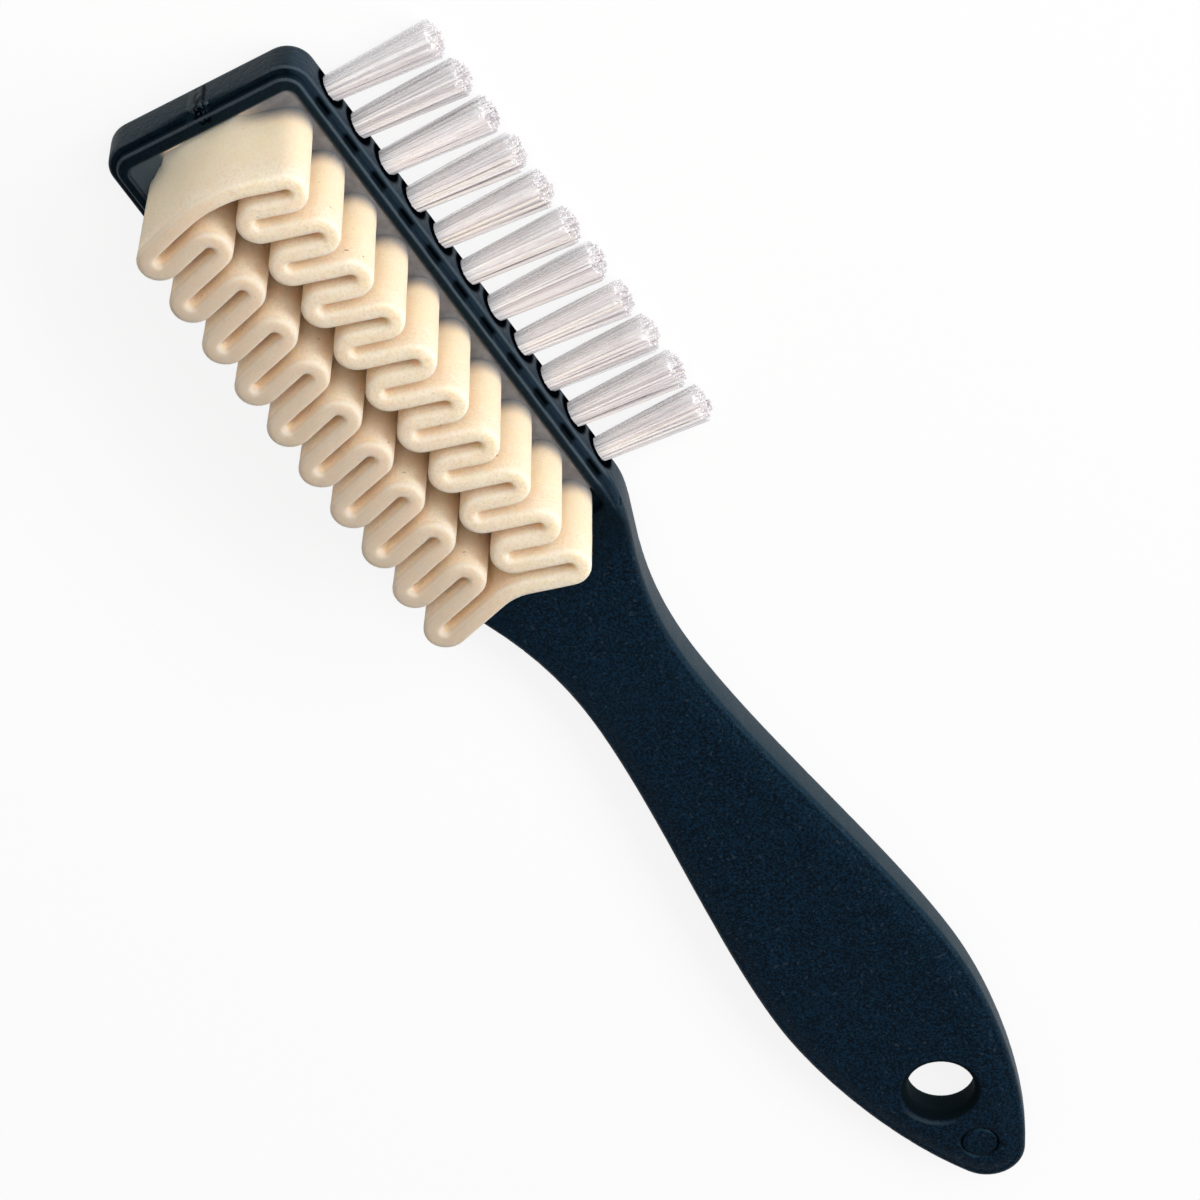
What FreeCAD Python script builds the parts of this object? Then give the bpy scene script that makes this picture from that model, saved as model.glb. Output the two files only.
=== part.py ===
# Suede brush: a moulded handle whose head holds a pleated crepe insert and a side row of bristles.
# X runs from the head's tip to the handle's end, Y towards the bristles and Z up, in millimetres.
# The origin is on the flat back, on the centre line, under the middle of the head's tray.
import FreeCAD
import Part
import math
import os

# Crepe insert: one ribbon set on edge, pleated into two columns that slant towards the tip
ribbon_thickness = 1.85
pleat_period = 6.0
pleat_count = 10
pleat_slant = 16.5
insert_width = 19.7
insert_height = 13.0
column_gap = 1.36
column_gap_shift = 0.35
column_lead = 0.5
tip_arch_radius = 13.0
handle_arch_radius = 6.0

# Adhesive bed: the glue layer that the insert is pressed into
bed_thickness = 0.7
insert_sink = 0.35
bed_gap = 0.02

# Head: a tray inside a raised rim, with a ledge round the outside of the rim
body_thickness = 5.8
tray_clearance = 0.1
tray_depth = 0.9
tray_corner_radius = 1.0
rim_width = 1.15
tip_rim_width = 1.6
ledge_width = 0.9
ledge_drop = 1.0
ledge_fade_start = 2.0
ledge_fade_length = 2.7
tip_corner_radius = 3.0

# Handle seen from above: distances run from one station to the next, pulls round off the curve there
shoulder_setback = 1.5
shoulder_pull = 5.0
neck_distance = 24.6
neck_width = 13.1
neck_pull = 14.0
belly_distance = 48.7
belly_width = 22.65
belly_pull = 14.0
taper_pull = 9.0
nose_distance = 31.2
nose_radius = 4.3
nose_angle = 58.0

# Handle seen from the side: flat under the head and neck, then thinner towards the end
top_edge_radius = 0.8
back_edge_radius = 1.4
back_flat_past_tray = 27.0
end_thickness = 3.85

# Hang hole, and the ring that an ejector pin leaves beside it
hang_hole_radius = 3.75
hang_hole_rounding = 1.05
hang_hole_from_nose = 14.8
ejector_ring_radius = 2.2
ejector_ring_width = 0.3
ejector_ring_depth = 0.12
ejector_ring_from_nose = 5.9

# Gate vestige: a low pad up the tip's end face, just over the ledge's edge
gate_width = 1.7
gate_proud = 0.2
gate_over_ledge = 0.2

# Bristle tufts in blind holes along one long side of the head, tilted up a little off the table
tuft_count = 11
tuft_pitch = 5.235
tuft_row_lead = 0.4
tuft_height = 2.1
tuft_tilt = 1.8
tuft_hole_radius = 1.4
tuft_hole_depth = 7.0
tuft_clearance = 0.05
tuft_free_length = 13.2
tuft_spread = 0.7
tuft_crown = 0.4

# Flat wire staples that hold the tufts in their holes
staple_width = 1.6
staple_thickness = 0.3
staple_depth_left = 0.7
staple_clearance = 0.05

# Sizes that follow from the ones above
slant = math.radians(pleat_slant)
turn_radius = pleat_period * math.cos(slant) / 4
turn_reach = turn_radius + ribbon_thickness / 2
outer_turn_y = insert_width / 2 - turn_reach
tray_width = insert_width + 2 * tray_clearance
rim_half_width = tray_width / 2 + rim_width
head_half_width = rim_half_width + ledge_width
tray_floor = body_thickness - tray_depth
ledge_height = body_thickness - ledge_drop
insert_base = tray_floor + bed_thickness - insert_sink

# Cutting solids run this far past what they cut, and edges are found to this closeness
margin = 5.0
close = 1e-4


def vector(x, y, z=0.0):
    return FreeCAD.Vector(x, y, z)


def line(start, end):
    return Part.LineSegment(start, end).toShape()


def arc(start, middle, end):
    return Part.Arc(start, middle, end).toShape()


def bezier(*poles):
    curve = Part.BezierCurve()
    curve.setPoles(list(poles))
    return curve.toShape()


def edges_of(shape, wanted):
    """The shape's edges whose middle point is one that is wanted."""
    picked = []
    for edge in shape.Edges:
        middle = edge.valueAt((edge.FirstParameter + edge.LastParameter) / 2)
        if wanted(middle):
            picked.append(edge)
    return picked


# Pleats: each turn of the ribbon is a half circle, and straight passes join one turn to the next

def side_normal(side):
    """Direction across the passes of one column, towards the handle."""
    return vector(math.cos(slant), -side * math.sin(slant))


def outer_turn(side, index, first_x):
    """Centre of a turn at the outside of a column. Side is 1 at the bristles and -1 opposite."""
    return vector(first_x - side * column_lead / 2 + index * pleat_period, side * outer_turn_y)


def inner_turn(side, index, first_x):
    """Centre of the turn beside the middle gap that follows the outer turn of the same index."""
    inner_y = column_gap / 2 + side * column_gap_shift + turn_reach
    step = side_normal(side) * (2 * turn_radius)
    run = (outer_turn_y - inner_y - 2 * turn_radius * math.sin(slant)) / math.cos(slant)
    along = vector(math.sin(slant), side * math.cos(slant)) * run
    return outer_turn(side, index, first_x) + step - along


def arch_centre(index, toward_handle, radius, first_x):
    """Centre of the arc where a pass of one column runs on into the same pass of the other."""
    levels = {}
    for side in (1, -1):
        turn = outer_turn(side, index, first_x)
        levels[side] = turn.dot(side_normal(side)) + toward_handle * turn_radius + radius
    x = (levels[1] + levels[-1]) / (2 * math.cos(slant))
    y = (levels[-1] - levels[1]) / (2 * math.sin(slant))
    return vector(x, y)


def ribbon_turns(first_x):
    """Every curve of the closed ribbon in order: centre, radius, and headings in and out in degrees."""
    turns = []
    tip_arch = arch_centre(0, -1, tip_arch_radius, first_x)
    turns.append((tip_arch, tip_arch_radius, 90 + pleat_slant, 90 - pleat_slant))
    for index in range(pleat_count):
        turns.append((outer_turn(1, index, first_x), turn_radius, 90 - pleat_slant, -90 - pleat_slant))
        if index < pleat_count - 1:
            turns.append((inner_turn(1, index, first_x), turn_radius, -90 - pleat_slant, 90 - pleat_slant))
    handle_arch = arch_centre(pleat_count - 1, 1, handle_arch_radius, first_x)
    turns.append((handle_arch, handle_arch_radius, -90 - pleat_slant, -90 + pleat_slant))
    for index in reversed(range(pleat_count)):
        turns.append((outer_turn(-1, index, first_x), turn_radius, -90 + pleat_slant, -270 + pleat_slant))
        if index > 0:
            turns.append((inner_turn(-1, index - 1, first_x), turn_radius, 90 + pleat_slant, 270 + pleat_slant))
    return turns


def ribbon_wire(first_x, offset):
    """The closed line at a steady distance to the left of the ribbon's middle line."""
    curves = []
    for centre, radius, heading_in, heading_out in ribbon_turns(first_x):
        hand = 1 if heading_out > heading_in else -1
        reach = hand * radius - offset
        points = []
        for heading in (heading_in, (heading_in + heading_out) / 2, heading_out):
            angle = math.radians(heading)
            points.append(centre + vector(math.sin(angle), -math.cos(angle)) * reach)
        curves.append(points)
    edges = []
    for points, next_points in zip(curves, curves[1:] + curves[:1]):
        edges.append(arc(*points))
        edges.append(line(points[-1], next_points[0]))
    return Part.Wire(edges)


def ribbon(first_x, thickness, base, height):
    """The pleated ribbon as a solid that stands on the given base."""
    wires = [ribbon_wire(first_x, thickness / 2), ribbon_wire(first_x, -thickness / 2)]
    face = Part.makeFace(wires, "Part::FaceMakerBullseye")
    face.translate(vector(0, 0, base))
    return face.extrude(vector(0, 0, height))


# The tray is as long as the insert, which is centred in it
insert_low = arch_centre(0, -1, tip_arch_radius, 0.0).x - tip_arch_radius - ribbon_thickness / 2
insert_high = outer_turn(-1, pleat_count - 1, 0.0).x + turn_reach
first_turn_x = -(insert_low + insert_high) / 2
tray_length = insert_high - insert_low + 2 * tray_clearance

# Stations along the centre line
tray_end_x = tray_length / 2
tip_x = -tray_end_x - tip_rim_width - ledge_width
shoulder_x = tray_end_x - shoulder_setback
neck_x = shoulder_x + neck_distance
belly_x = neck_x + belly_distance
nose_x = belly_x + nose_distance
back_rise_x = tray_end_x + back_flat_past_tray
hang_hole_x = nose_x - hang_hole_from_nose


# Handle and head

def plan_side(side, inset):
    """One long side of the outline, from the tip's corner to the nose."""
    half = head_half_width - inset
    corner = tip_corner_radius - inset
    low = tip_x + inset
    diagonal = corner * (1 - math.sqrt(0.5))
    neck = neck_width / 2 - inset
    belly = belly_width / 2 - inset
    turn = math.radians(nose_angle)
    nose_middle = nose_x - nose_radius
    nose = nose_radius - inset
    nose_start = vector(nose_middle + nose * math.cos(turn), side * nose * math.sin(turn))
    nose_pull = vector(math.sin(turn), -side * math.cos(turn)) * taper_pull
    return [
        arc(
            vector(low, side * (half - corner)),
            vector(low + diagonal, side * (half - diagonal)),
            vector(low + corner, side * half),
        ),
        line(vector(low + corner, side * half), vector(shoulder_x, side * half)),
        bezier(
            vector(shoulder_x, side * half),
            vector(shoulder_x + shoulder_pull, side * half),
            vector(neck_x - neck_pull, side * neck),
            vector(neck_x, side * neck),
        ),
        bezier(
            vector(neck_x, side * neck),
            vector(neck_x + neck_pull, side * neck),
            vector(belly_x - belly_pull, side * belly),
            vector(belly_x, side * belly),
        ),
        bezier(
            vector(belly_x, side * belly),
            vector(belly_x + taper_pull, side * belly),
            nose_start - nose_pull,
            nose_start,
        ),
    ]


def plan(inset, base, height):
    """The whole outline, drawn in by an inset and raised to a solid."""
    sides = {side: plan_side(side, inset) for side in (1, -1)}
    tip = line(sides[-1][0].Vertexes[0].Point, sides[1][0].Vertexes[0].Point)
    nose_ends = [sides[side][-1].Vertexes[-1].Point for side in (1, -1)]
    nose = arc(nose_ends[0], vector(nose_x - inset, 0), nose_ends[1])
    edges = Part.__sortEdges__([tip] + sides[1] + [nose] + sides[-1])
    face = Part.Face(Part.Wire(edges))
    face.translate(vector(0, 0, base))
    return face.extrude(vector(0, 0, height))


def across(edges):
    """A side view, given as edges in the XZ plane, made into a solid wider than the brush."""
    width = head_half_width + belly_width + margin
    face = Part.Face(Part.Wire(edges))
    face.translate(vector(0, -width, 0))
    return face.extrude(vector(0, 2 * width, 0))


def back_height(x):
    """Height of the back, which is flat and then rises straight to the end's thickness."""
    slope = (body_thickness - end_thickness) / (nose_x - back_rise_x)
    return max(x - back_rise_x, 0.0) * slope


def side_view():
    """Everything above the back's line."""
    end_x = nose_x + margin
    top = body_thickness + margin
    corners = [
        vector(tip_x - margin, 0, 0),
        vector(back_rise_x, 0, 0),
        vector(end_x, 0, back_height(end_x)),
        vector(end_x, 0, top),
        vector(tip_x - margin, 0, top),
    ]
    edges = [line(start, end) for start, end in zip(corners, corners[1:] + corners[:1])]
    return across(edges)


def ledge_cut():
    """What is taken off outside the rim, down to the ledge, which climbs to the top at the shoulder."""
    fade_x = tray_end_x - ledge_fade_start
    top = body_thickness + margin
    corners = [
        vector(tip_x - margin, 0, ledge_height),
        vector(fade_x, 0, ledge_height),
        vector(fade_x + ledge_fade_length, 0, body_thickness),
        vector(fade_x + ledge_fade_length, 0, top),
        vector(tip_x - margin, 0, top),
    ]
    edges = [line(start, end) for start, end in zip(corners, corners[1:] + corners[:1])]
    return across(edges).cut(plan(ledge_width, 0.0, top + margin))


def tray(inset, base, height):
    """A block of the tray's outline, drawn in by an inset."""
    block = Part.makeBox(
        tray_length - 2 * inset,
        tray_width - 2 * inset,
        height,
        vector(-tray_length / 2 + inset, -tray_width / 2 + inset, base),
    )
    upright = edges_of(block, lambda point: abs(point.z - base - height / 2) < height / 4)
    return block.makeFillet(tray_corner_radius - inset, upright)


def tuft_x(index):
    return (index - (tuft_count - 1) / 2) * tuft_pitch - tuft_row_lead


def tilted(shape):
    """A hole, tuft or staple turned up about the line where the tufts leave the head's side."""
    shape.rotate(vector(0, head_half_width, tuft_height), vector(1, 0, 0), tuft_tilt)
    return shape


def tuft_bore(index):
    """The blind hole of one tuft, open past the head's side."""
    start = vector(tuft_x(index), head_half_width - tuft_hole_depth, tuft_height)
    return Part.makeCylinder(tuft_hole_radius, tuft_hole_depth + margin, start, vector(0, 1, 0))


def gate_pad():
    """The scar of the moulding gate, from the back's rounding to just over the ledge."""
    height = ledge_height + gate_over_ledge - back_edge_radius
    depth = gate_proud + ledge_width / 2
    corner = vector(tip_x - gate_proud, -gate_width / 2, back_edge_radius)
    pad = Part.makeBox(depth, gate_width, height, corner)
    front = edges_of(pad, lambda point: abs(point.x - corner.x) < close)
    return pad.makeChamfer(gate_proud / 2, front)


def handle_body():
    body = plan(0.0, 0.0, body_thickness).common(side_view())
    top_edges = edges_of(body, lambda point: abs(point.z - body_thickness) < close)
    body = body.makeFillet(top_edge_radius, top_edges)
    back_edges = edges_of(
        body,
        lambda point: abs(point.z - back_height(point.x)) < close < abs(point.x - back_rise_x),
    )
    body = body.makeFillet(back_edge_radius, back_edges)
    body = body.cut(ledge_cut())
    body = body.cut(tray(0.0, tray_floor, tray_depth + margin))
    for index in range(tuft_count):
        body = body.cut(tilted(tuft_bore(index)))
    hole_start = vector(hang_hole_x, 0, -margin)
    body = body.cut(Part.makeCylinder(hang_hole_radius, body_thickness + 2 * margin, hole_start))
    reach = hang_hole_radius + hang_hole_rounding
    hole_edges = [
        edge
        for edge in edges_of(body, lambda point: abs(point.x - hang_hole_x) < reach and abs(point.y) < reach)
        if edge.isClosed()
    ]
    body = body.makeFillet(hang_hole_rounding, hole_edges)
    ring_start = vector(nose_x - ejector_ring_from_nose, 0, body_thickness - ejector_ring_depth)
    ring = Part.makeCylinder(ejector_ring_radius, margin, ring_start)
    ring = ring.cut(Part.makeCylinder(ejector_ring_radius - ejector_ring_width, margin, ring_start))
    body = body.cut(ring)
    return body.fuse(gate_pad())


# Glue, tufts and staples

def adhesive_bed():
    """The glue fills the tray's floor, with the insert's foot pressed into it."""
    bed = tray(bed_gap, tray_floor, bed_thickness)
    foot = ribbon(first_turn_x, ribbon_thickness + 2 * bed_gap, insert_base, insert_height)
    return bed.cut(foot)


def staple_block(index, gap):
    """One flat wire across its hole, grown by a gap on its flat sides."""
    length = 2 * (tuft_hole_radius - staple_clearance + gap)
    width = staple_width + 2 * gap
    thickness = staple_thickness + 2 * gap
    low_y = head_half_width - tuft_hole_depth + staple_depth_left - gap
    corner = vector(tuft_x(index) - length / 2, low_y, tuft_height - thickness / 2)
    return Part.makeBox(length, width, thickness, corner)


def bristle_tuft(index):
    """A bundle that fills its hole, spreads towards a slightly domed end and is folded round its staple."""
    root = tuft_hole_radius - tuft_clearance
    end = root + tuft_spread
    low_y = head_half_width - tuft_hole_depth + tuft_clearance
    face_y = head_half_width
    end_y = head_half_width + tuft_free_length
    x = tuft_x(index)
    corners = [
        vector(x, end_y, tuft_height),
        vector(x, low_y, tuft_height),
        vector(x + root, low_y, tuft_height),
        vector(x + root, face_y, tuft_height),
        vector(x + end, end_y - tuft_crown, tuft_height),
    ]
    edges = [line(start, stop) for start, stop in zip(corners, corners[1:])]
    dome_radius = (end**2 + tuft_crown**2) / (2 * tuft_crown)
    dome_middle = end_y - dome_radius + math.sqrt(dome_radius**2 - (end / 2) ** 2)
    edges.append(arc(corners[-1], vector(x + end / 2, dome_middle, tuft_height), corners[0]))
    bundle = Part.Face(Part.Wire(edges)).revolve(vector(x, 0, tuft_height), vector(0, 1, 0), 360)
    return bundle.cut(staple_block(index, staple_clearance))


pieces = {
    "handle_body": handle_body(),
    "crepe_insert": ribbon(first_turn_x, ribbon_thickness, insert_base, insert_height),
    "adhesive_bed": adhesive_bed(),
}
for index in range(tuft_count):
    pieces[f"bristle_tuft_{index + 1:02d}"] = tilted(bristle_tuft(index))
    pieces[f"tuft_staple_{index + 1:02d}"] = tilted(staple_block(index, 0.0))

os.makedirs("parts", exist_ok=True)
for name, shape in pieces.items():
    solids = shape.Solids
    if len(solids) != 1 or not shape.isValid():
        raise ValueError(f"{name} has {len(solids)} solids, valid is {shape.isValid()}")
    solids[0].exportStep(f"parts/{name}.step")
    box = shape.BoundBox
    spans = (box.XMin, box.XMax, box.YMin, box.YMax, box.ZMin, box.ZMax)
    print(name, f"{shape.Volume:.1f} mm3", " ".join(f"{value:.2f}" for value in spans))
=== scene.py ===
# Suede brush: a moulded handle whose head holds a pleated crepe insert and a side row of bristles.
# Lengths are metres in the CAD model's frame: X from the head's tip to the handle's end, Y towards
# the bristles and Z up from the flat back.
import functools
import math
import random

import bmesh
import bpy
from mathutils import Matrix, Quaternion, Vector, geometry, noise


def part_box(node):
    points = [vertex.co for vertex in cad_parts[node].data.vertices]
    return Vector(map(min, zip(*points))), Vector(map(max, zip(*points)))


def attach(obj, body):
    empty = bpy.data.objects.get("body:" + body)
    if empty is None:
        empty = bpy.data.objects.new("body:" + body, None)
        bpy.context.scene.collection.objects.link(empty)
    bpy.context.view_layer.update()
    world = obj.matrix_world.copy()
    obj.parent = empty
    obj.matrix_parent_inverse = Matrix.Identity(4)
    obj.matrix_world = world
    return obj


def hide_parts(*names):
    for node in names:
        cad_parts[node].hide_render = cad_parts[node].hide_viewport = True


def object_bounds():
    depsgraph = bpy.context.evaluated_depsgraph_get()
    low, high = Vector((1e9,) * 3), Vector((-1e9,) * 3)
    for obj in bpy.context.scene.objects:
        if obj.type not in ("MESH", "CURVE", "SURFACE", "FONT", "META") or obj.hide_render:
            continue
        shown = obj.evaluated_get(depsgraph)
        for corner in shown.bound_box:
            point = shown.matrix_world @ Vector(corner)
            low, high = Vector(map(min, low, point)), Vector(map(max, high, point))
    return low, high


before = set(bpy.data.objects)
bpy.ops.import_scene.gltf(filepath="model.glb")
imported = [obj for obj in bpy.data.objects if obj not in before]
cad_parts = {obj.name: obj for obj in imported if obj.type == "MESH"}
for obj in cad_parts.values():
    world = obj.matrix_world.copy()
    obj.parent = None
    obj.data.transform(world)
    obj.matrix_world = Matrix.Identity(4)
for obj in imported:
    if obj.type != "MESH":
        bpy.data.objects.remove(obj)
cad_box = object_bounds()

# Handle and head: one injection moulding in blue-black plastic with the fine matt grain of an eroded
# mould. A narrow ledge and a raised rim run round the head's tray, and the mould rounds every edge.
hang_hole = (0.118649, 0, 0)
ejector_ring = (0.127549, 0, 0)
tip_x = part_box("handle_body")[0].x
gate_scar = (tip_x + 0.0010, 0.0003, 0)
gate_height = 0.0049
chip_count = 14
tray_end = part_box("adhesive_bed")[1].x
head_end = tray_end + 0.002
handle_start = tray_end + 0.006
neck_length = 0.02
smooth_until, grained_from = 0.030, 0.040
rim_foot = 0.0045
edge_rounding = 0.0003
hole_clearance, ring_clearance = 0.0055, 0.0027
crown_drop, crown_width, crown_foot = 0.00045, 0.0024, 0.003
outline_reach = 0.002
groove_reach, groove_drop = 0.0023, 0.0003
fine_cuts_start = 0.112
long_cut, fine_cut, side_cut = 0.003, 0.0008, 0.0006
cut_count, side_cut_count = 26, 17
head_side = 0.012
tuft_count = 11
tuft_height = 0.0021
first_low, first_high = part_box("bristle_tuft_01")
last_low, last_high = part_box("bristle_tuft_11")
first_tuft = (first_low.x + first_high.x) / 2
last_tuft = (last_low.x + last_high.x) / 2
tuft_pitch = (last_tuft - first_tuft) / (tuft_count - 1)


class Wire:
    """A socket of a material's nodes, so that masks and patterns are combined as plain sums."""

    def __init__(self, socket):
        self.socket = socket

    @classmethod
    def node(cls, tree, kind, settings=None, sockets=None, output=0):
        """Adds one node: first its settings, then the values or links of its sockets."""
        made = tree.nodes.new(kind)
        for name, value in (settings or {}).items():
            if name == "stops":
                for index, (position, colour) in enumerate(value):
                    if index >= len(made.color_ramp.elements):
                        made.color_ramp.elements.new(position)
                    made.color_ramp.elements[index].position = position
                    made.color_ramp.elements[index].color = colour
            else:
                setattr(made, name, value)
        for name, value in (sockets or {}).items():
            if isinstance(name, int):
                socket = made.inputs[name]
            else:
                socket = next(item for item in made.inputs if name in (item.identifier, item.name))
            if isinstance(value, Wire):
                tree.links.new(value.socket, socket)
            else:
                socket.default_value = value
        return cls(made.outputs[output]) if made.outputs else None

    def maths(self, operation, *values):
        """Adds a math node that works on some values."""
        settings = {"operation": operation}
        return Wire.node(self.socket.id_data, "ShaderNodeMath", settings, dict(enumerate(values)))

    def __add__(self, other):
        return self.maths("ADD", self, other)

    def __sub__(self, other):
        return self.maths("SUBTRACT", self, other)

    def __rsub__(self, other):
        return self.maths("SUBTRACT", other, self)

    def __mul__(self, other):
        return self.maths("MULTIPLY", self, other)

    __radd__ = __add__
    __rmul__ = __mul__


def start_finish(name):
    """A new material with a maker of its nodes and its object coordinates."""
    finish = bpy.data.materials.new(name)
    finish.use_nodes = True
    finish.node_tree.nodes.clear()
    make = functools.partial(Wire.node, finish.node_tree)
    return finish, make, make("ShaderNodeTexCoord", output="Object")


def pattern(make, place, scale, detail=2.0, roughness=0.5):
    """Noise of a given number of features per metre, from 0 to 1."""
    sockets = {"Vector": place, "Scale": scale, "Detail": detail, "Roughness": roughness}
    return make("ShaderNodeTexNoise", {}, sockets)


def between(make, value, low, high):
    """A mask that rises smoothly from 0 at low to 1 at high."""
    settings = {"interpolation_type": "SMOOTHSTEP"}
    return make("ShaderNodeMapRange", settings, {"Value": value, "From Min": low, "From Max": high})


def band(make, value, *steps):
    """A mask that rises between the first two of four steps and falls between the last two."""
    return between(make, value, *steps[:2]) - between(make, value, *steps[2:])


def blend(make, mask, first, second):
    """One colour where the mask is 0 and another where it is 1."""
    sockets = {"Factor_Float": mask, "A_Color": first, "B_Color": second}
    return make("ShaderNodeMix", {"data_type": "RGBA"}, sockets, output=2)


def facing_up(make):
    """How far a surface faces up, from -1 to 1."""
    normal = make("ShaderNodeNewGeometry", output="Normal")
    return make("ShaderNodeSeparateXYZ", {}, {"Vector": normal}, output=2)


def end_finish(make, sockets, painted_hollow_shade=None):
    """Closes a material: its own surface, and a black surface of painted shade where a mask of painted
    shade in hollows is 1.
    """
    surface = make("ShaderNodeBsdfPrincipled", {}, sockets)
    if painted_hollow_shade:
        black = make("ShaderNodeBsdfDiffuse", {}, {"Color": (0.0004, 0.0010, 0.0018, 1)})
        surface = make("ShaderNodeMixShader", {}, {0: painted_hollow_shade, 1: surface, 2: black})
    make("ShaderNodeOutputMaterial", {}, {"Surface": surface})


def moulded_plastic():
    """Grained on the handle, smoother on the head, with painted light on its upright faces and ledge,
    painted highlights and some wear on its edges, and painted black shade in the tuft sockets, the hang
    hole and the ring groove.
    """
    finish, make, place = start_finish("handle_plastic_finish")
    lengthwise = make("ShaderNodeSeparateXYZ", {}, {"Vector": place}, output=0)
    sideways = make("ShaderNodeSeparateXYZ", {}, {"Vector": place}, output=1)
    level = make("ShaderNodeVectorMath", {"operation": "MULTIPLY"}, {0: place, 1: (1, 1, 0)})
    apart = {"operation": "DISTANCE"}
    from_hole = make("ShaderNodeVectorMath", apart, {0: level, 1: hang_hole}, output=1)
    from_ring = make("ShaderNodeVectorMath", apart, {0: level, 1: ejector_ring}, output=1)
    from_gate = make("ShaderNodeVectorMath", apart, {0: level, 1: gate_scar}, output=1)
    edge_highlight_and_wear = make("ShaderNodeAttribute", {"attribute_name": "worn_edge"}, {}, output="Fac")
    past_first = lengthwise - first_tuft
    along_row = past_first.maths("PINGPONG", past_first, tuft_pitch / 2)
    off_row = make("ShaderNodeSeparateXYZ", {}, {"Vector": place}, output=2) - tuft_height
    from_tuft = off_row.maths("SQRT", along_row * along_row + off_row * off_row)
    grain = pattern(make, place, 3400, 3.0, 0.7)
    ripple = pattern(make, place, 900, 2.0)
    speckle = pattern(make, place, 1700, 1.0, 0.4)
    cloud = pattern(make, place, 60, 3.0)
    pit, plain = (0.0002, 0.0006, 0.0028, 1), (0.0024, 0.0140, 0.0330, 1)
    colour = blend(make, between(make, grain, 0.41, 0.61), pit, plain)
    colour = blend(make, between(make, speckle, 0.66, 0.75) * 0.7, colour, (0.020, 0.028, 0.040, 1))
    colour = blend(make, between(make, cloud, 0.4, 0.7) * 0.2, colour, (0.003, 0.012, 0.024, 1))
    # Painted light: upright faces are lighter than the top, as side walls catching the lamps are.
    flank = 1 - between(make, facing_up(make), 0.15, 0.75)
    colour = blend(make, flank * 0.8, colour, (0.008, 0.021, 0.032, 1))
    smooth = 1 - between(make, lengthwise, smooth_until, grained_from)
    colour = blend(make, smooth * 0.75, colour, (0.0004, 0.0010, 0.0022, 1))
    # Painted light: the head's ledge on the bristles' side is lighter and bluer.
    ledge = smooth * between(make, sideways, 0.0104, 0.0114)
    colour = blend(make, ledge * 0.8, colour, (0.012, 0.022, 0.036, 1))
    # Painted highlight, with some wear: the rounded edges of the head and the gate's chips are lighter.
    edge_highlight_and_wear = edge_highlight_and_wear * (1 - between(make, lengthwise, tray_end - 0.004, tray_end - 0.002))
    colour = blend(make, edge_highlight_and_wear * (0.2 + 0.5 * grain), colour, (0.080, 0.096, 0.110, 1))
    # Painted highlight on the far side of the hang hole's lip.
    painted_lip_highlight = band(make, from_hole, 0.0045, 0.0048, 0.0050, 0.0053)
    far_side = 1 - between(make, sideways, -0.004, 0.0005)
    painted_lip_highlight = painted_lip_highlight * far_side * between(make, lengthwise, 0.118, 0.121)
    colour = blend(make, painted_lip_highlight * 0.8, colour, (0.028, 0.042, 0.056, 1))
    # Painted shade: the hang hole's bore is black.
    painted_bore_shade = 1 - between(make, from_hole, 0.0043, 0.0047)
    # Painted shade: black with no gloss in the tuft sockets and the notches beside them, with dark
    # flecks at the gate scar.
    on_side = between(make, sideways, head_side - 0.0003, head_side - 0.0001)
    socket = on_side * (1 - between(make, from_tuft, 0.0021, 0.0026))
    notch = band(make, sideways, 0.0110, 0.0112, 0.0114, 0.0117)
    notch = notch * (1 - between(make, along_row, 0.0009, 0.0015))
    scar = (1 - between(make, from_gate, 0.0008, 0.0013)) * between(make, speckle, 0.46, 0.54)
    row_start, row_end = first_tuft - 0.0022, last_tuft + 0.0022
    in_row = band(make, lengthwise, row_start - 0.0004, row_start, row_end, row_end + 0.0004)
    painted_hollow_shade = smooth * (in_row * (socket + 0.9 * notch) + 0.9 * scar)
    colour = blend(make, painted_hollow_shade, colour, (0.0003, 0.0008, 0.0016, 1))
    # Painted shade: the ejector ring's groove is darkened.
    painted_groove_shade = band(make, from_ring, 0.00182, 0.00194, 0.00216, 0.00228)
    colour = blend(make, painted_bore_shade + 0.7 * painted_groove_shade, colour, (0.0002, 0.0004, 0.0008, 1))
    relief = grain + smooth * (2 * ripple + 1.5 * speckle)
    bump = make("ShaderNodeBump", {}, {"Strength": 0.8, "Distance": 0.00005, "Height": relief})
    end_finish(make, {
        "Base Color": colour,
        "Roughness": 0.42 + 0.2 * grain + 0.6 * painted_bore_shade,
        "Specular IOR Level": 0.26,
        "Specular Tint": (0.35, 0.75, 1.0, 1),
        "Normal": bump,
    }, painted_hollow_shade)
    return finish


def add_piece(name, shape, finish, nodes, smooth_angle=35):
    """Makes a finished bmesh an object that rides on the root and stands for CAD nodes."""
    mesh = bpy.data.meshes.new(name)
    shape.to_mesh(mesh)
    shape.free()
    mesh.shade_smooth()
    mesh.set_sharp_from_angle(angle=math.radians(smooth_angle))
    mesh.materials.append(finish)
    piece = bpy.data.objects.new(name, mesh)
    bpy.context.scene.collection.objects.link(piece)
    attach(piece, "root")
    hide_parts(*nodes)


def joined_copy(node):
    """A bmesh of a CAD node with its loose triangles merged."""
    shape = bmesh.new()
    shape.from_mesh(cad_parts[node].data)
    bmesh.ops.remove_doubles(shape, verts=shape.verts, dist=1e-6)
    return shape


def keep_inside(shape, box):
    """Pulls stray points back to the sides of a box."""
    for vert in shape.verts:
        vert.co = [min(max(value, low), high) for value, low, high in zip(vert.co, *box)]


def corners_of(shape, wanted):
    """Edges that stand out by more than 40 degrees and whose middle point is wanted."""
    picked = []
    for edge in shape.edges:
        middle = (edge.verts[0].co + edge.verts[1].co) / 2
        if edge.is_convex and edge.calc_face_angle() > math.radians(40) and wanted(middle):
            picked.append(edge)
    return picked


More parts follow.
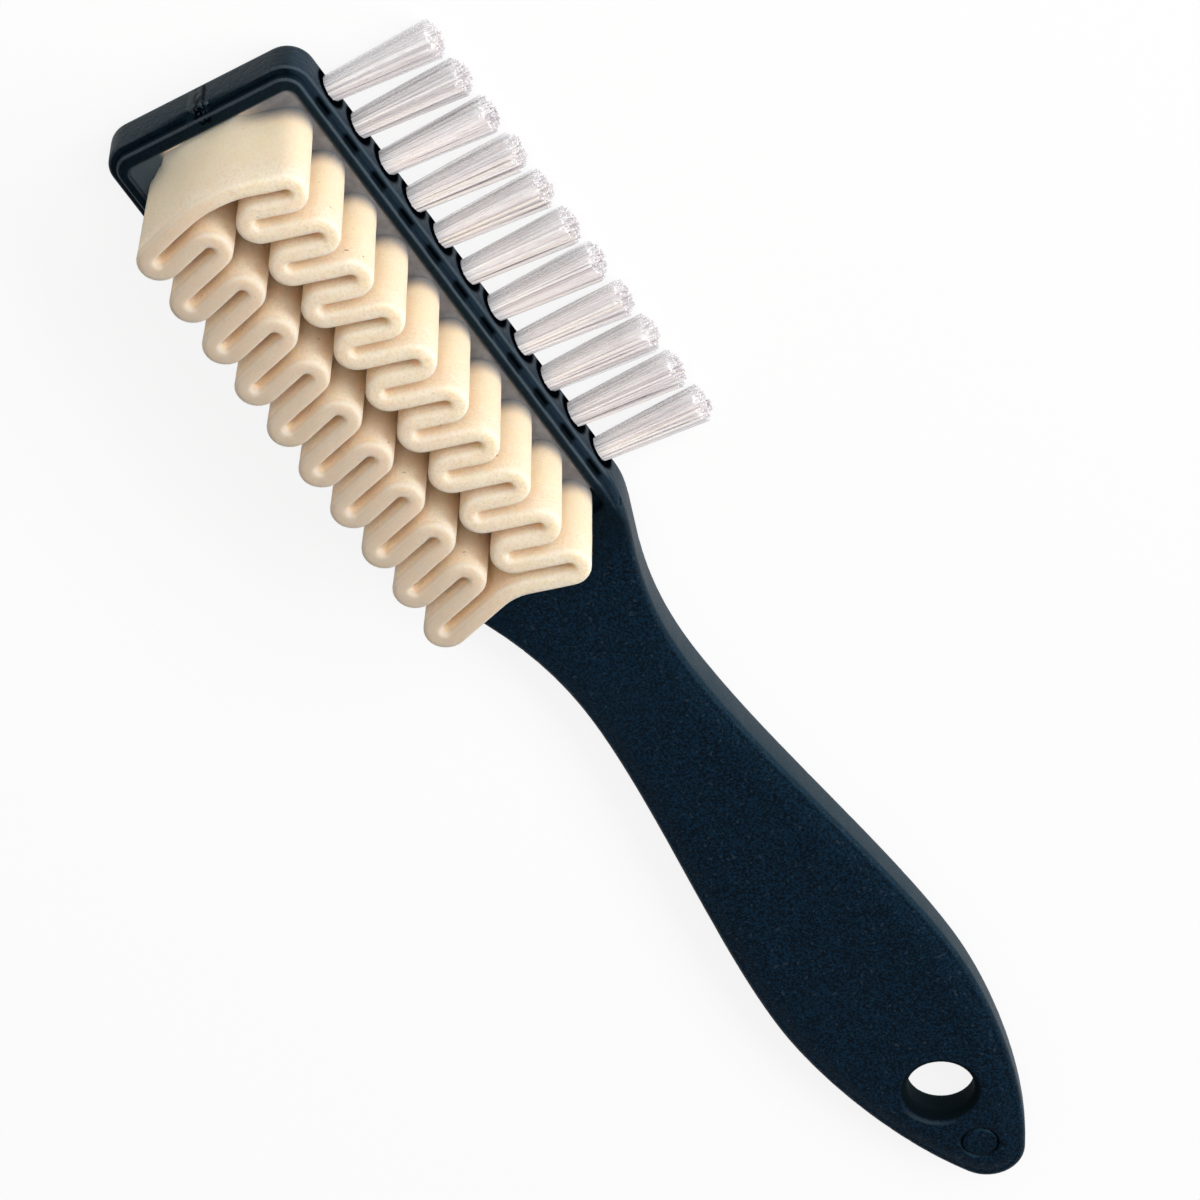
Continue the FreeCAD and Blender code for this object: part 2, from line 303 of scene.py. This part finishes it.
moulding = joined_copy("handle_body")
worn_edge = moulding.verts.layers.float.new("worn_edge")
bmesh.ops.dissolve_limit(
    moulding, angle_limit=math.radians(0.2), verts=moulding.verts[:], edges=moulding.edges[:],
    delimit={"NORMAL"},
)
head_edges = corners_of(moulding, lambda point: point.x < head_end and point.z > rim_foot)
rounded = bmesh.ops.bevel(
    moulding, geom=head_edges, offset=edge_rounding, offset_type="OFFSET", segments=4, profile=0.5,
    affect="EDGES", material=-1, clamp_overlap=False,
)["faces"]
# Points wholly inside the rounding carry the painted edge highlight, with some wear.
for face in rounded:
    for vert in face.verts:
        vert[worn_edge] = all(other in rounded for other in vert.link_faces)
deck = max(vert.co.z for vert in moulding.verts if vert.co.x > handle_start)


def away_from(point, centre, distance):
    """Whether a point lies farther from a centre than a distance, seen from above."""
    return (point.xy - Vector(centre[:2])).length > distance


def borders_deck(edge):
    """Whether an edge runs between the handle's flat top and the rounding of its outline."""
    point = edge.verts[0].co
    level = all(abs(vert.co.z - deck) < 1e-6 for vert in edge.verts)
    flat_sides = sum(face.normal.z > 0.9999 for face in edge.link_faces)
    outside = away_from(point, hang_hole, hole_clearance)
    outside = outside and away_from(point, ejector_ring, ring_clearance)
    return level and flat_sides == 1 and outside and point.x > tray_end


def gap_to(point, lines):
    """Distance from a point to the nearest of some lines, seen from above."""
    gaps = []
    for start, end in lines:
        share = geometry.intersect_point_line(point, start, end)[1]
        gaps.append((start.lerp(end, min(max(share, 0), 1)) - point).length)
    return min(gaps)


outline = [[vert.co.xy for vert in edge.verts] for edge in moulding.edges if borders_deck(edge)]
cuts = [((handle_start + long_cut * step, 0, 0), (1, 0, 0)) for step in range(cut_count)]
cuts += [((fine_cuts_start + fine_cut * step, 0, 0), (1, 0, 0)) for step in range(cut_count)]
side_steps = range(-side_cut_count, side_cut_count + 1)
cuts += [((0, side_cut * step, 0), (0, 1, 0)) for step in side_steps]
for place, across in cuts:
    everything = moulding.verts[:] + moulding.edges[:] + moulding.faces[:]
    bmesh.ops.bisect_plane(moulding, geom=everything, plane_co=place, plane_no=across, dist=1e-7)
for vert in moulding.verts:
    begun = min(max((vert.co.x - handle_start) / neck_length, 0), 1)
    raised = min(max((vert.co.z - crown_foot) / (deck - crown_foot), 0), 1)
    if begun * raised > 0:
        gap = gap_to(vert.co.xy, outline)
        if vert.co.z < deck - 1e-5 and gap < outline_reach:
            gap = 0
        eased = begun * begun * (3 - 2 * begun)
        vert.co.z -= crown_drop * max(0, 1 - gap / crown_width) ** 2 * eased * raised
    in_groove = deck - 0.0003 < vert.co.z < deck - 0.00005
    if in_groove and not away_from(vert.co, ejector_ring, groove_reach):
        vert.co.z -= groove_drop
dice = random.Random(5)
for chip in range(chip_count):
    past_tip = dice.uniform(0.0002, 0.0018)
    spot = Vector((tip_x + past_tip, dice.uniform(-0.0009, 0.0013), gate_height))
    stretch = Matrix.Diagonal([dice.uniform(0.6, 1.5) for axis in range(3)]).to_4x4()
    turned = Matrix.Rotation(dice.uniform(0, math.pi), 4, "Z")
    made = bmesh.ops.create_icosphere(
        moulding, subdivisions=1, radius=dice.uniform(0.00014, 0.00032),
        matrix=Matrix.Translation(spot) @ turned @ stretch,
    )
    for vert in made["verts"]:
        vert[worn_edge] = dice.random()
keep_inside(moulding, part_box("handle_body"))
add_piece("handle_moulding", moulding, moulded_plastic(), ["handle_body"])

# Crepe insert: one band of cream crepe rubber set on edge and pleated into two columns that slant
# towards the tip. It is moulded in one closed loop, with soft top edges, and pressed into the glue.
ribbon_thickness = 0.00185
pleat_period = 0.006
pleat_count = 10
slant = math.radians(16.5)
insert_width = 0.0197
column_gap = 0.00136
column_gap_shift = 0.00035
column_lead = 0.0005
tip_arch_radius = 0.013
handle_arch_radius = 0.006
ribbon_rounding = 0.0006
wall_cuts, turn_steps, straight_parts = 8, 14, 3
foot_tuck, top_spread = 0.0002, 0.00025
waviness, waves_per_metre, wave_seed = 0.00005, 350, 3
flare, flare_height_share = 0.0016, 0.22
flare_length, flare_half_width, flare_fade, flare_middle = 0.006, 0.0055, 0.002, -0.0015
turn_radius = pleat_period * math.cos(slant) / 4
turn_reach = turn_radius + ribbon_thickness / 2
outer_turn_y = insert_width / 2 - turn_reach
insert_low, insert_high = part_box("crepe_insert")


def outer_turn(side, index):
    """Centre of a turn at the outside of a column, before the insert is moved into its tray."""
    return Vector((index * pleat_period - side * column_lead / 2, side * outer_turn_y, 0))


def inner_turn(side, index):
    """Centre of the turn beside the middle gap that follows the outer turn of the same index."""
    inner_y = column_gap / 2 + side * column_gap_shift + turn_reach
    run = (outer_turn_y - inner_y - 2 * turn_radius * math.sin(slant)) / math.cos(slant)
    across = Vector((math.cos(slant), -side * math.sin(slant), 0))
    along = Vector((math.sin(slant), side * math.cos(slant), 0))
    return outer_turn(side, index) + 2 * turn_radius * across - run * along


def arch_centre(index, toward_handle, radius):
    """Centre of the arc that joins the two columns at one end of the insert."""
    levels = {}
    for side in (1, -1):
        across = Vector((math.cos(slant), -side * math.sin(slant), 0))
        levels[side] = outer_turn(side, index).dot(across) + toward_handle * turn_radius + radius
    x = (levels[1] + levels[-1]) / (2 * math.cos(slant))
    return Vector((x, (levels[-1] - levels[1]) / (2 * math.sin(slant)), 0))


def ribbon_turns():
    """Every curve of the closed ribbon in order: centre, radius, and headings in and out."""
    quarter = math.pi / 2
    turns = [(arch_centre(0, -1, tip_arch_radius), tip_arch_radius, quarter + slant, quarter - slant)]
    for index in range(pleat_count):
        turns.append((outer_turn(1, index), turn_radius, quarter - slant, -quarter - slant))
        if index < pleat_count - 1:
            turns.append((inner_turn(1, index), turn_radius, -quarter - slant, quarter - slant))
    last_arch = arch_centre(pleat_count - 1, 1, handle_arch_radius)
    turns.append((last_arch, handle_arch_radius, -quarter - slant, -quarter + slant))
    for index in reversed(range(pleat_count)):
        turns.append((outer_turn(-1, index), turn_radius, -quarter + slant, -3 * quarter + slant))
        if index > 0:
            turns.append((inner_turn(-1, index - 1), turn_radius, quarter + slant, 3 * quarter + slant))
    shift = Vector((insert_low.x - turns[0][0].x + tip_arch_radius + ribbon_thickness / 2, 0, 0))
    return [(centre + shift, radius, first, last) for centre, radius, first, last in turns]


def turn_start(centre, radius, heading, hand):
    """Where a curve of the ribbon has a given heading."""
    return centre + hand * radius * Vector((math.sin(heading), -math.cos(heading), 0))


def sweep_along_ribbon(shape):
    """Carries the one loop in a bmesh, drawn across X at the origin, round the whole ribbon."""
    turns = ribbon_turns()
    hands = [1 if last > first else -1 for centre, radius, first, last in turns]
    starts = [turn_start(turn[0], turn[1], turn[2], hand) for turn, hand in zip(turns, hands)]
    ends = [turn_start(turn[0], turn[1], turn[3], hand) for turn, hand in zip(turns, hands)]
    first_heading = Matrix.Rotation(turns[0][2], 3, "Z")
    bmesh.ops.rotate(shape, verts=shape.verts, cent=(0, 0, 0), matrix=first_heading)
    bmesh.ops.translate(shape, verts=shape.verts, vec=starts[0])
    loop = shape.edges[:]
    for index, (centre, radius, first, last) in enumerate(turns):
        spun = bmesh.ops.spin(
            shape, geom=loop, cent=centre, axis=(0, 0, 1), angle=last - first, steps=turn_steps
        )
        loop = [item for item in spun["geom_last"] if isinstance(item, bmesh.types.BMEdge)]
        target = starts[(index + 1) % len(starts)]
        for part in range(straight_parts):
            drawn = bmesh.ops.extrude_edge_only(shape, edges=loop)
            moved = [item for item in drawn["geom"] if isinstance(item, bmesh.types.BMVert)]
            loop = [item for item in drawn["geom"] if isinstance(item, bmesh.types.BMEdge)]
            loop = [edge for edge in loop if all(vert in moved for vert in edge.verts)]
            bmesh.ops.translate(shape, verts=moved, vec=(target - ends[index]) / straight_parts)
    bmesh.ops.remove_doubles(shape, verts=shape.verts, dist=1e-6)
    bmesh.ops.recalc_face_normals(shape, faces=shape.faces)


def section(shape, corners):
    """Draws a closed loop across X from sideways and upward places."""
    verts = [shape.verts.new((0, side, height)) for side, height in corners]
    for vert, next_vert in zip(verts, verts[1:] + verts[:1]):
        shape.edges.new((vert, next_vert))
    return verts


foot, top = insert_low.z, insert_high.z


def crepe_rubber():
    """Cream with a few pinholes, greyer on the tops of the column away from the bristles, with painted
    bounce light deep in the slots, painted highlights on the top edges and a grey foot that is partly
    glue stain and partly painted shade.
    """
    finish, make, place = start_finish("crepe_rubber_finish")
    sideways = make("ShaderNodeSeparateXYZ", {}, {"Vector": place}, output=1)
    height = make("ShaderNodeSeparateXYZ", {}, {"Vector": place}, output=2)
    mottle = pattern(make, place, 500, 3.0)
    grain = pattern(make, place, 3200, 3.0, 0.7)
    smear = pattern(make, place, 350, 2.0)
    pinhole = pattern(make, place, 1100, 1.0)
    yellowed, cream = (0.95, 0.74, 0.55, 1), (0.97, 0.79, 0.62, 1)
    colour = blend(make, between(make, mottle, 0.3, 0.7), yellowed, cream)
    colour = blend(make, between(make, grain, 0.44, 0.66) * 0.55, colour, (0.77, 0.57, 0.40, 1))
    colour = blend(make, between(make, pinhole, 0.77, 0.81) * 0.7, colour, (0.20, 0.15, 0.11, 1))
    # The tops of the column away from the bristles are greyer.
    greyer_far_tops = 1 - between(make, sideways, -0.009, 0.009)
    greyer_far_tops = greyer_far_tops * between(make, height, top - 0.0010, top - 0.0002) * 0.9
    # Painted light: a warmer orange deep in the slots, for light bounced between the walls.
    painted_slot_glow = 1 - between(make, height, top - 0.0060, top - 0.0010)
    colour = blend(make, painted_slot_glow * 0.6, colour, (0.99, 0.73, 0.49, 1))
    colour = blend(make, greyer_far_tops, colour, (0.54, 0.45, 0.352, 1))
    # Painted highlight: the rounded top edges are lighter.
    painted_top_edge_highlight = band(make, facing_up(make), -0.1, 0.3, 0.7, 0.95)
    colour = blend(make, painted_top_edge_highlight * 0.22, colour, (0.97, 0.89, 0.78, 1))
    # A grey foot: partly glue stain, partly painted shade.
    glue = 1 - between(make, height - 0.0010 * smear, 0.0050, 0.0080)
    glue = glue * (0.1 + 0.9 * between(make, sideways, 0.002, 0.007))
    colour = blend(make, glue, colour, (0.23, 0.22, 0.215, 1))
    bump = make("ShaderNodeBump", {}, {"Strength": 0.8, "Distance": 0.0001, "Height": grain})
    end_finish(make, {
        "Base Color": colour,
        "Roughness": 0.65 + 0.2 * grain,
        "Specular IOR Level": 0.15,
        "Subsurface Weight": 0.7,
        "Subsurface Radius": (1.0, 0.65, 0.4),
        "Subsurface Scale": 0.004,
        "Normal": bump,
    })
    return finish


crepe = bmesh.new()
half = ribbon_thickness / 2
corners = section(crepe, [(-half, foot), (half, foot), (half, top), (-half, top)])
bmesh.ops.contextual_create(crepe, geom=corners)
bmesh.ops.bevel(
    crepe, geom=corners[2:], offset=ribbon_rounding, offset_type="OFFSET", segments=6, profile=0.5,
    affect="VERTICES", material=-1,
)
bmesh.ops.delete(crepe, geom=crepe.faces[:], context="FACES_ONLY")
walls = [edge for edge in crepe.edges if edge.calc_length() > 2 * ribbon_thickness]
bmesh.ops.subdivide_edges(crepe, edges=walls, cuts=wall_cuts)
sweep_along_ribbon(crepe)
tip_arch = ribbon_turns()[0][0]
tray_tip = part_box("adhesive_bed")[0].x
noise.seed_set(wave_seed)
for vert in crepe.verts:
    up = (vert.co.z - foot) / (top - foot)
    spread = (foot_tuck + top_spread) * up - foot_tuck
    vert.co.y += spread * vert.co.y / (insert_width / 2)
    vert.co += waviness * noise.noise_vector(vert.co * waves_per_metre) * up
    from_arch = vert.co - tip_arch
    from_arch.z = 0
    if vert.co.x < insert_low.x + flare_length and from_arch.length > tip_arch_radius:
        inside = flare_half_width - abs(vert.co.y - flare_middle)
        reach = min(max(inside / flare_fade, 0), 1)
        foot_share = max(0, 1 - up / flare_height_share) ** 2 * reach
        vert.co += from_arch.normalized() * flare * foot_share
        vert.co.x = max(vert.co.x, tray_tip)
keep_inside(crepe, cad_box)
add_piece("crepe_pleats", crepe, crepe_rubber(), ["crepe_insert"], 60)

# Adhesive bed: grey contact glue poured into the tray. The insert's foot is pressed into it, so that
# it stands a little up the rubber and up the rim.
bed_low, bed_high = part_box("adhesive_bed")
lump_height, lumps_per_metre = 0.0001, 600
bed_corner_x, bed_corner_y = 0.0285, 0.0085


def contact_glue():
    """Mottled grey, yellow with rubber at the tip and dark blue-grey along the side away from the
    bristles.
    """
    finish, make, place = start_finish("adhesive_finish")
    lengthwise = make("ShaderNodeSeparateXYZ", {}, {"Vector": place}, output=0)
    sideways = make("ShaderNodeSeparateXYZ", {}, {"Vector": place}, output=1)
    mottle = pattern(make, place, 900, 3.0)
    dark, pale = (0.13, 0.125, 0.127, 1), (0.19, 0.185, 0.185, 1)
    colour = blend(make, between(make, mottle, 0.3, 0.75), dark, pale)
    tip = 1 - between(make, lengthwise, -0.0285, -0.026)
    # Dark blue-grey along the side away from the bristles.
    dark_blue_side = 1 - between(make, sideways, -0.0062, -0.0048)
    rubbery = tip * (1 - between(make, sideways, 0.001, 0.007))
    colour = blend(make, rubbery * 0.9, colour, (0.78, 0.62, 0.44, 1))
    colour = blend(make, dark_blue_side, colour, (0.045, 0.068, 0.085, 1))
    bump = make("ShaderNodeBump", {}, {"Strength": 0.5, "Distance": 0.0001, "Height": mottle})
    end_finish(make, {"Base Color": colour, "Roughness": 0.4 + 0.3 * mottle, "Normal": bump})
    return finish


glue = bmesh.new()
bmesh.ops.create_grid(glue, x_segments=90, y_segments=30, size=0.5)
span = bed_high - bed_low
middle = (bed_low + bed_high) / 2
bmesh.ops.scale(glue, vec=(span.x, span.y, 1), verts=glue.verts)
bmesh.ops.translate(glue, vec=(middle.x, middle.y, bed_high.z), verts=glue.verts)
for vert in glue.verts:
    vert.co.z += lump_height * noise.noise(vert.co * lumps_per_metre) - lump_height
for item in bmesh.ops.extrude_face_region(glue, geom=glue.faces[:])["geom"]:
    if isinstance(item, bmesh.types.BMVert):
        item.co.z = bed_low.z
for side in (1, -1):
    everything = glue.verts[:] + glue.edges[:] + glue.faces[:]
    bmesh.ops.bisect_plane(
        glue, geom=everything, plane_co=(bed_corner_x, side * bed_corner_y, 0),
        plane_no=(0.8, side * 0.6, 0), clear_outer=True,
    )
keep_inside(glue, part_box("adhesive_bed"))
bmesh.ops.recalc_face_normals(glue, faces=glue.faces)
add_piece("glue_bed", glue, contact_glue(), ["adhesive_bed"])

# Bristle tufts: bundles of clear nylon filament, folded in half round a flat staple that is driven
# into each blind hole. The free ends fan out a little and are trimmed nearly level.
filament_radius = 0.00016
filament_count = 64
tuft_root_radius = 0.00124
tuft_end_radius = 0.0021
tuft_tilt = math.radians(1.8)
tuft_depth = 0.002
free_length = 0.0132
tuft_end = head_side + free_length
trim_dome, trim_scatter = 0.0009, 0.0004
filament_stray = 0.0001
filament_parts = 4
golden_angle, turn_scatter = math.radians(137.5), 0.3
core_setback, core_shade = 0.001, 0.5
core_root_radius, core_end_radius = 0.8 * tuft_root_radius, 0.75 * tuft_end_radius


def nylon():
    """Filaments with a shade each, clear at the sides of the tuft, greyer towards the trimmed ends, with
    painted shade on the side towards the handle end and painted light on the side towards the tip.
    """
    finish, make, place = start_finish("nylon_bristle_finish")
    sideways = make("ShaderNodeSeparateXYZ", {}, {"Vector": place}, output=1)
    shade = make("ShaderNodeAttribute", {"attribute_name": "filament_shade"}, {}, output="Fac")
    flank = make("ShaderNodeAttribute", {"attribute_name": "filament_flank"}, {}, output="Fac")
    drawn_out = make("ShaderNodeVectorMath", {"operation": "MULTIPLY"}, {0: place, 1: (1, 0.15, 1)})
    streak = pattern(make, drawn_out, 2600, 2.0, 0.6)
    colour = make("ShaderNodeValToRGB", {"stops": [
        (0.0, (0.58, 0.53, 0.56, 1)),
        (0.25, (0.84, 0.80, 0.82, 1)),
        (0.65, (0.97, 0.96, 0.97, 1)),
        (1.0, (0.99, 0.93, 0.87, 1)),
    ]}, {"Fac": shade})
    colour = blend(make, between(make, streak, 0.48, 0.62) * 0.3, colour, (0.66, 0.58, 0.56, 1))
    # Painted shade on the side of the tuft towards the handle end, and painted light on the side towards
    # the tip.
    colour = blend(make, between(make, flank, -0.4, 0.8) * 0.5, colour, (0.72, 0.69, 0.70, 1))
    colour = blend(make, (1 - between(make, flank, -0.7, -0.1)) * 0.7, colour, (0.98, 0.98, 1.0, 1))
    clear = between(make, flank, 0.6, 1.0)
    colour = blend(make, clear * 0.7, colour, (0.86, 0.90, 0.97, 1))
    clear = 0.65 * clear + 0.8 * (1 - between(make, flank, -0.95, -0.45))
    trimmed = between(make, sideways, tuft_end - 0.0012, tuft_end)
    colour = blend(make, trimmed * 0.4, colour, (0.55, 0.52, 0.55, 1))
    end_finish(make, {
        "Base Color": colour,
        "Roughness": 0.3,
        "IOR": 1.53,
        "Alpha": 1 - clear,
    })
    return finish


def bristle_path(turn, out, dice):
    """Where one filament leaves its hole, where it ends, and how far it bows on the way."""
    outward = Vector((math.cos(turn), 0, math.sin(turn))) * out
    stray = Vector((dice.uniform(-1, 1), 0, dice.uniform(-1, 1)))
    root = outward * tuft_root_radius + Vector((0, -tuft_depth, 0))
    tip = outward * tuft_end_radius + stray * filament_stray
    tip.y = free_length - trim_dome * out ** 3 - dice.uniform(0, trim_scatter)
    bow = Vector((dice.uniform(-1, 1), 0, dice.uniform(-1, 1))) * filament_stray
    return root, tip, bow


nylon_finish = nylon()
dice = random.Random(11)
for number in range(1, tuft_count + 1):
    node = f"bristle_tuft_{number:02d}"
    low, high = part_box(node)
    tuft = bmesh.new()
    own_number = tuft.verts.layers.int.new("filament")
    shade_layer = tuft.verts.layers.float.new("filament_shade")
    flank_layer = tuft.verts.layers.float.new("filament_flank")
    paths = []
    for index in range(filament_count):
        turn = index * golden_angle + dice.uniform(-turn_scatter, turn_scatter)
        out = math.sqrt((index + 0.5) / filament_count)
        path = bristle_path(turn, out, dice)
        paths.append(path)
        upright = Matrix.Translation(path[0]) @ Matrix.Rotation(-math.pi / 2, 4, "X")
        made = bmesh.ops.create_circle(
            tuft, cap_ends=True, segments=6, radius=filament_radius, matrix=upright,
        )
        shade = dice.random()
        for vert in made["verts"]:
            vert[own_number] = index
            vert[shade_layer] = shade
            vert[flank_layer] = out * math.cos(turn)
    ends = tuft.faces[:]
    for step in range(1, filament_parts + 1):
        drawn = bmesh.ops.extrude_face_region(tuft, geom=ends)["geom"]
        if step > 1:
            bmesh.ops.delete(tuft, geom=ends, context="FACES_ONLY")
        ends = [item for item in drawn if isinstance(item, bmesh.types.BMFace)]
        for vert in drawn:
            if isinstance(vert, bmesh.types.BMVert):
                root, tip, bow = paths[vert[own_number]]
                part_turn = math.pi / filament_parts
                sway = math.sin(part_turn * step) - math.sin(part_turn * (step - 1))
                vert.co += (tip - root) / filament_parts + bow * sway
    along = Matrix.Rotation(-math.pi / 2, 4, "X")
    along.translation = (0, (free_length - core_setback - tuft_depth) / 2, 0)
    core = bmesh.ops.create_cone(
        tuft, cap_ends=True, segments=16, radius1=core_root_radius, radius2=core_end_radius,
        depth=free_length - core_setback + tuft_depth, matrix=along,
    )
    for vert in core["verts"]:
        vert[shade_layer] = core_shade
    tilted = Matrix.Rotation(tuft_tilt, 3, "X")
    bmesh.ops.rotate(tuft, verts=tuft.verts, cent=(0, 0, 0), matrix=tilted)
    bmesh.ops.translate(tuft, verts=tuft.verts, vec=((low.x + high.x) / 2, head_side, tuft_height))
    keep_inside(tuft, cad_box)
    bmesh.ops.recalc_face_normals(tuft, faces=tuft.faces)
    add_piece(f"bristles_{number:02d}", tuft, nylon_finish, [node])


# Staples: short lengths of flat drawn steel wire. Each is driven across the fold of a tuft and bites
# into the wall of the blind hole, so that nothing of it shows from outside.
def drawn_steel():
    """Bright wire with the faint streaks of the die."""
    finish, make, place = start_finish("staple_wire_finish")
    streak = pattern(make, place, 5000, 2.0)
    colour = blend(make, streak, (0.45, 0.45, 0.44, 1), (0.62, 0.61, 0.60, 1))
    end_finish(make, {"Base Color": colour, "Metallic": 1.0, "Roughness": 0.3 + 0.15 * streak})
    return finish


staple_finish = drawn_steel()
for number in range(1, tuft_count + 1):
    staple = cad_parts[f"tuft_staple_{number:02d}"]
    staple.data.materials.clear()
    staple.data.materials.append(staple_finish)

# Photograph: the brush lies on a pale table in soft studio light from the bristles' side, seen from
# above its tip with the picture turned round.
eye = Vector((-0.33845, 0.25431, 0.59869))
aim = Vector((0.04048, 0.00311, 0.0058))
picture_roll = math.radians(-177.35)
lamp_aim = Vector((0.03, 0, 0))
table_half_width, table_drop, table_glow = 3.0, 0.0001, 0.86
camera = bpy.data.objects.new("camera", bpy.data.cameras.new("camera"))
bpy.context.scene.collection.objects.link(camera)
camera.data.lens = 211.35
camera.data.sensor_width = 36.0
camera.data.clip_start = 0.05
camera.location = eye
look = (aim - eye).to_track_quat("-Z", "Y") @ Quaternion((0, 0, 1), picture_roll)
camera.rotation_euler = look.to_euler()
bpy.context.scene.camera = camera

table_shape = bmesh.new()
bmesh.ops.create_grid(table_shape, x_segments=1, y_segments=1, size=table_half_width)
bmesh.ops.translate(table_shape, verts=table_shape.verts, vec=(0, 0, -table_drop))
table_mesh = bpy.data.meshes.new("table")
table_shape.to_mesh(table_mesh)
table_shape.free()
table_finish, make = start_finish("table_finish")[:2]
seen = make("ShaderNodeLightPath", output="Is Camera Ray")
mirrored = make("ShaderNodeLightPath", output="Is Glossy Ray")
looked_through = make("ShaderNodeLightPath", output="Is Transmission Ray")
matt = make("ShaderNodeBsdfDiffuse", {}, {"Color": (0.9, 0.9, 0.9, 1)})
white = make("ShaderNodeEmission", {}, {"Color": (1, 1, 1, 1), "Strength": 1.0})
paleness = table_glow * (seen + mirrored + looked_through)
surface = make("ShaderNodeMixShader", {}, {0: paleness, 1: matt, 2: white})
make("ShaderNodeOutputMaterial", {}, {"Surface": surface})
table_mesh.materials.append(table_finish)
table = bpy.data.objects.new("table", table_mesh)
bpy.context.scene.collection.objects.link(table)


def softbox(name, place, width, depth, power):
    """A rectangular area lamp that faces the brush."""
    lamp = bpy.data.lights.new(name, "AREA")
    lamp.shape = "RECTANGLE"
    lamp.size = width
    lamp.size_y = depth
    lamp.energy = power
    box = bpy.data.objects.new(name, lamp)
    box.location = place
    box.rotation_euler = (lamp_aim - Vector(place)).to_track_quat("-Z", "Y").to_euler()
    bpy.context.scene.collection.objects.link(box)


softbox("key_strip", (0.08, 0.75, 0.54), width=1.3, depth=0.4, power=9.4)
softbox("fill_softbox", (-0.60, 0.42, 0.88), width=0.7, depth=0.7, power=4.6)
world = bpy.data.worlds.new("studio")
world.use_nodes = True
background = world.node_tree.nodes["Background"].inputs
background["Color"].default_value = (1, 1, 1, 1)
background["Strength"].default_value = 0.22
bpy.context.scene.world = world
bpy.context.scene.view_settings.view_transform = "Standard"
